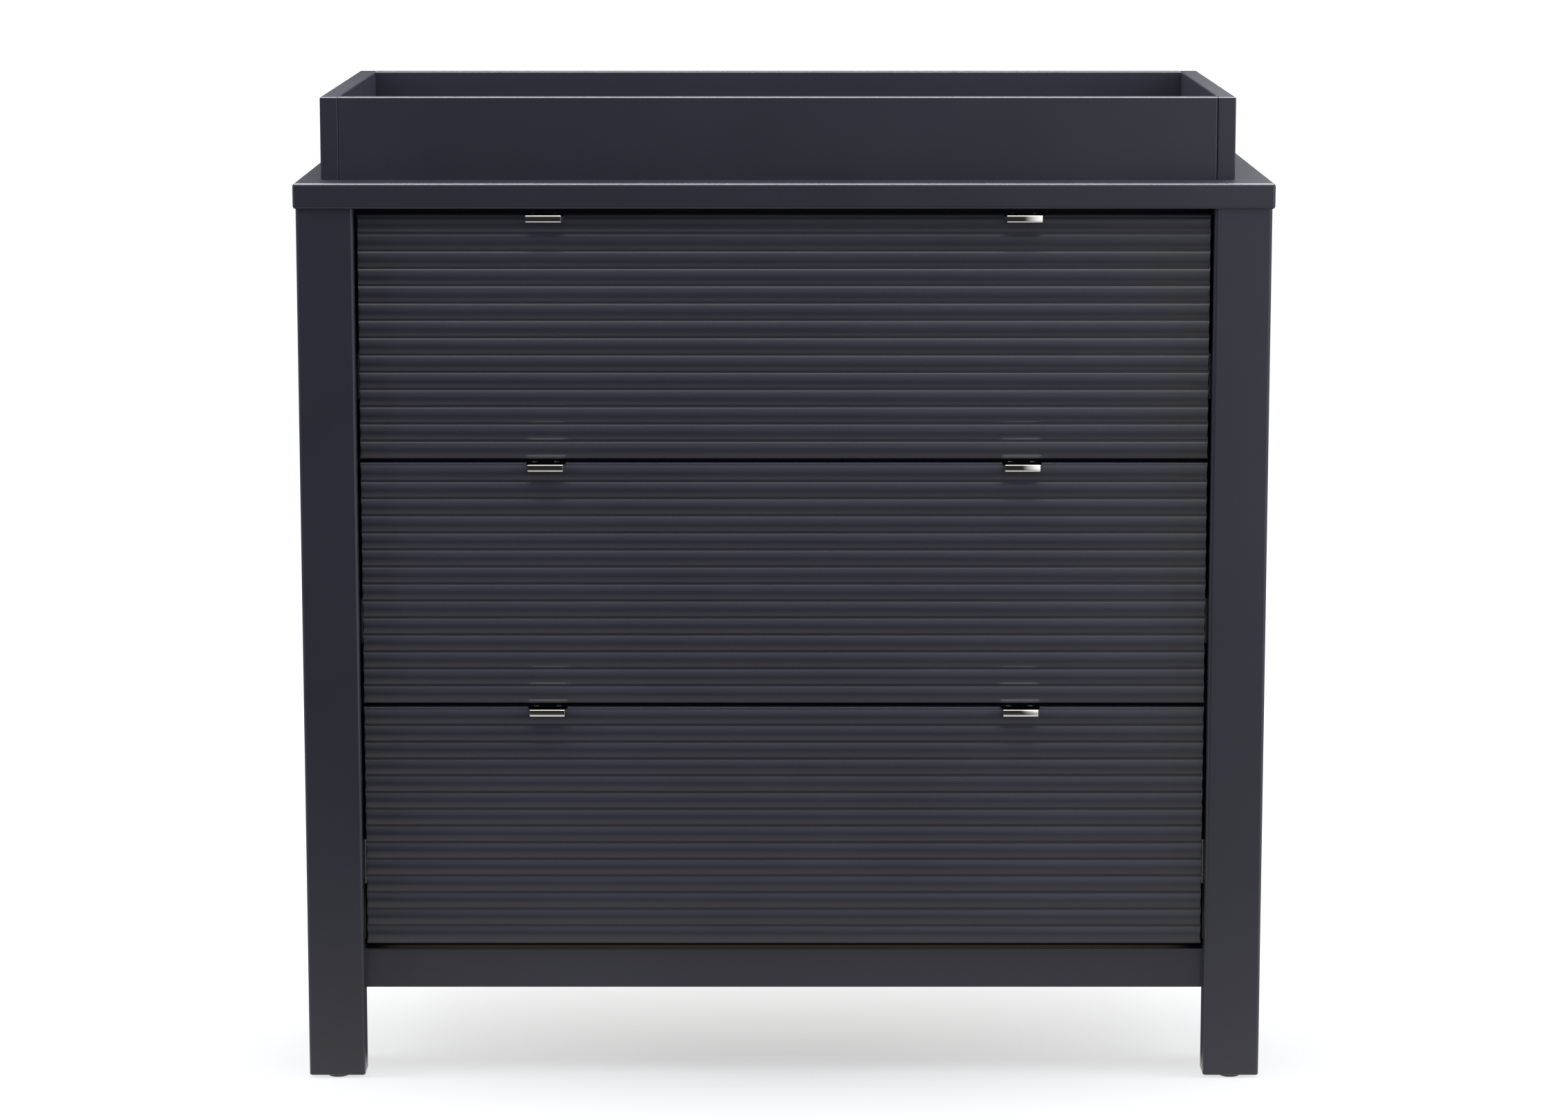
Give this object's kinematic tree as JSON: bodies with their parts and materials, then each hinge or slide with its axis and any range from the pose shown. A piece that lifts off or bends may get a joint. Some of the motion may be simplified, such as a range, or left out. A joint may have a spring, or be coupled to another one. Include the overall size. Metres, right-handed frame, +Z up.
{
  "type": "changing table",
  "caption": "Dresser with ribbed-front sliding drawers, edge pulls and an open tray on top that holds a changing pad.",
  "frame": {"origin": "on the floor, below the middle of the bounding box", "axes": "+Z up, +X to the right seen from the front, +Y from front to back, so the drawers open towards -Y"},
  "size_m": [0.959, 0.4998, 0.981],
  "materials": {
    "painted_wood": "satin dark navy charcoal paint on wood",
    "painted_drawer_front": "satin dark navy charcoal paint on ribbed wood",
    "drawer_box_wood": "clear lacquered pine",
    "drawer_bottom_board": "thin plywood",
    "inner_frame_wood": "bare pine",
    "back_board": "dark painted hardboard",
    "polished_metal": "polished nickel plate",
    "zinc_steel": "zinc plated steel",
    "zinc_cast": "cast zinc",
    "beech_dowel": "bare beech",
    "dark_glide_plastic": "matte plastic"
  },
  "bodies": {
    "carcass": {"top_panel": "painted_wood", "tray_left": "painted_wood", "tray_right": "painted_wood", "tray_front": "painted_wood", "tray_back": "painted_wood", "tray_dowels": "beech_dowel", "tray_fixing_plates": "zinc_steel", "tray_plate_screws": "zinc_steel", "left_front_stile": "painted_wood", "right_front_stile": "painted_wood", "left_side_front_leg": "painted_wood", "right_side_front_leg": "painted_wood", "left_rear_leg": "painted_wood", "right_rear_leg": "painted_wood", "left_side_rails": "painted_wood", "right_side_rails": "painted_wood", "left_side_panel": "painted_wood", "right_side_panel": "painted_wood", "slide_battens": "inner_frame_wood", "front_bottom_rail": "painted_wood", "bottom_cross_rail": "painted_wood", "front_top_rail": "painted_wood", "upper_divider_rail": "painted_wood", "lower_divider_rail": "painted_wood", "rear_bottom_rail": "painted_wood", "rear_middle_rail": "inner_frame_wood", "rear_top_rail": "inner_frame_wood", "back_panel_lower": "back_board", "back_panel_upper": "back_board", "back_panel_screws": "zinc_steel", "cam_locks": "zinc_cast", "cam_bolts": "zinc_steel", "top_dowels": "beech_dowel", "foot_glides": "dark_glide_plastic", "outer_slide_members": "zinc_steel", "outer_slide_screws": "zinc_steel"},
    "upper_drawer": {"upper_drawer_front": "painted_drawer_front", "upper_drawer_sides": "drawer_box_wood", "upper_drawer_ends": "drawer_box_wood", "upper_drawer_bottom": "drawer_bottom_board", "upper_drawer_pulls": "polished_metal", "upper_drawer_slide_members": "zinc_steel", "upper_drawer_screws": "zinc_steel"},
    "upper_slide_middle": {"upper_middle_slide_members": "zinc_steel"},
    "middle_drawer": {"middle_drawer_front": "painted_drawer_front", "middle_drawer_sides": "drawer_box_wood", "middle_drawer_ends": "drawer_box_wood", "middle_drawer_bottom": "drawer_bottom_board", "middle_drawer_pulls": "polished_metal", "middle_drawer_slide_members": "zinc_steel", "middle_drawer_screws": "zinc_steel"},
    "middle_slide_middle": {"middle_middle_slide_members": "zinc_steel"},
    "lower_drawer": {"lower_drawer_front": "painted_drawer_front", "lower_drawer_sides": "drawer_box_wood", "lower_drawer_ends": "drawer_box_wood", "lower_drawer_bottom": "drawer_bottom_board", "lower_drawer_pulls": "polished_metal", "lower_drawer_slide_members": "zinc_steel", "lower_drawer_screws": "zinc_steel"},
    "lower_slide_middle": {"lower_middle_slide_members": "zinc_steel"}
  },
  "joints": [
    {"name": "upper_drawer_slide", "type": "slide", "parent": "carcass", "child": "upper_drawer", "axis": [0, -1, 0], "range_m": [0, 0.3]},
    {"name": "upper_slide_middle_travel", "type": "slide", "parent": "carcass", "child": "upper_slide_middle", "axis": [0, -1, 0], "range_m": [0, 0.15]},
    {"name": "middle_drawer_slide", "type": "slide", "parent": "carcass", "child": "middle_drawer", "axis": [0, -1, 0], "range_m": [0, 0.3]},
    {"name": "middle_slide_middle_travel", "type": "slide", "parent": "carcass", "child": "middle_slide_middle", "axis": [0, -1, 0], "range_m": [0, 0.15]},
    {"name": "lower_drawer_slide", "type": "slide", "parent": "carcass", "child": "lower_drawer", "axis": [0, -1, 0], "range_m": [0, 0.3]},
    {"name": "lower_slide_middle_travel", "type": "slide", "parent": "carcass", "child": "lower_slide_middle", "axis": [0, -1, 0], "range_m": [0, 0.15]}
  ],
  "couplings": [
    {"joint": "upper_slide_middle_travel", "follows": "upper_drawer_slide", "ratio": 0.5},
    {"joint": "middle_slide_middle_travel", "follows": "middle_drawer_slide", "ratio": 0.5},
    {"joint": "lower_slide_middle_travel", "follows": "lower_drawer_slide", "ratio": 0.5}
  ]
}
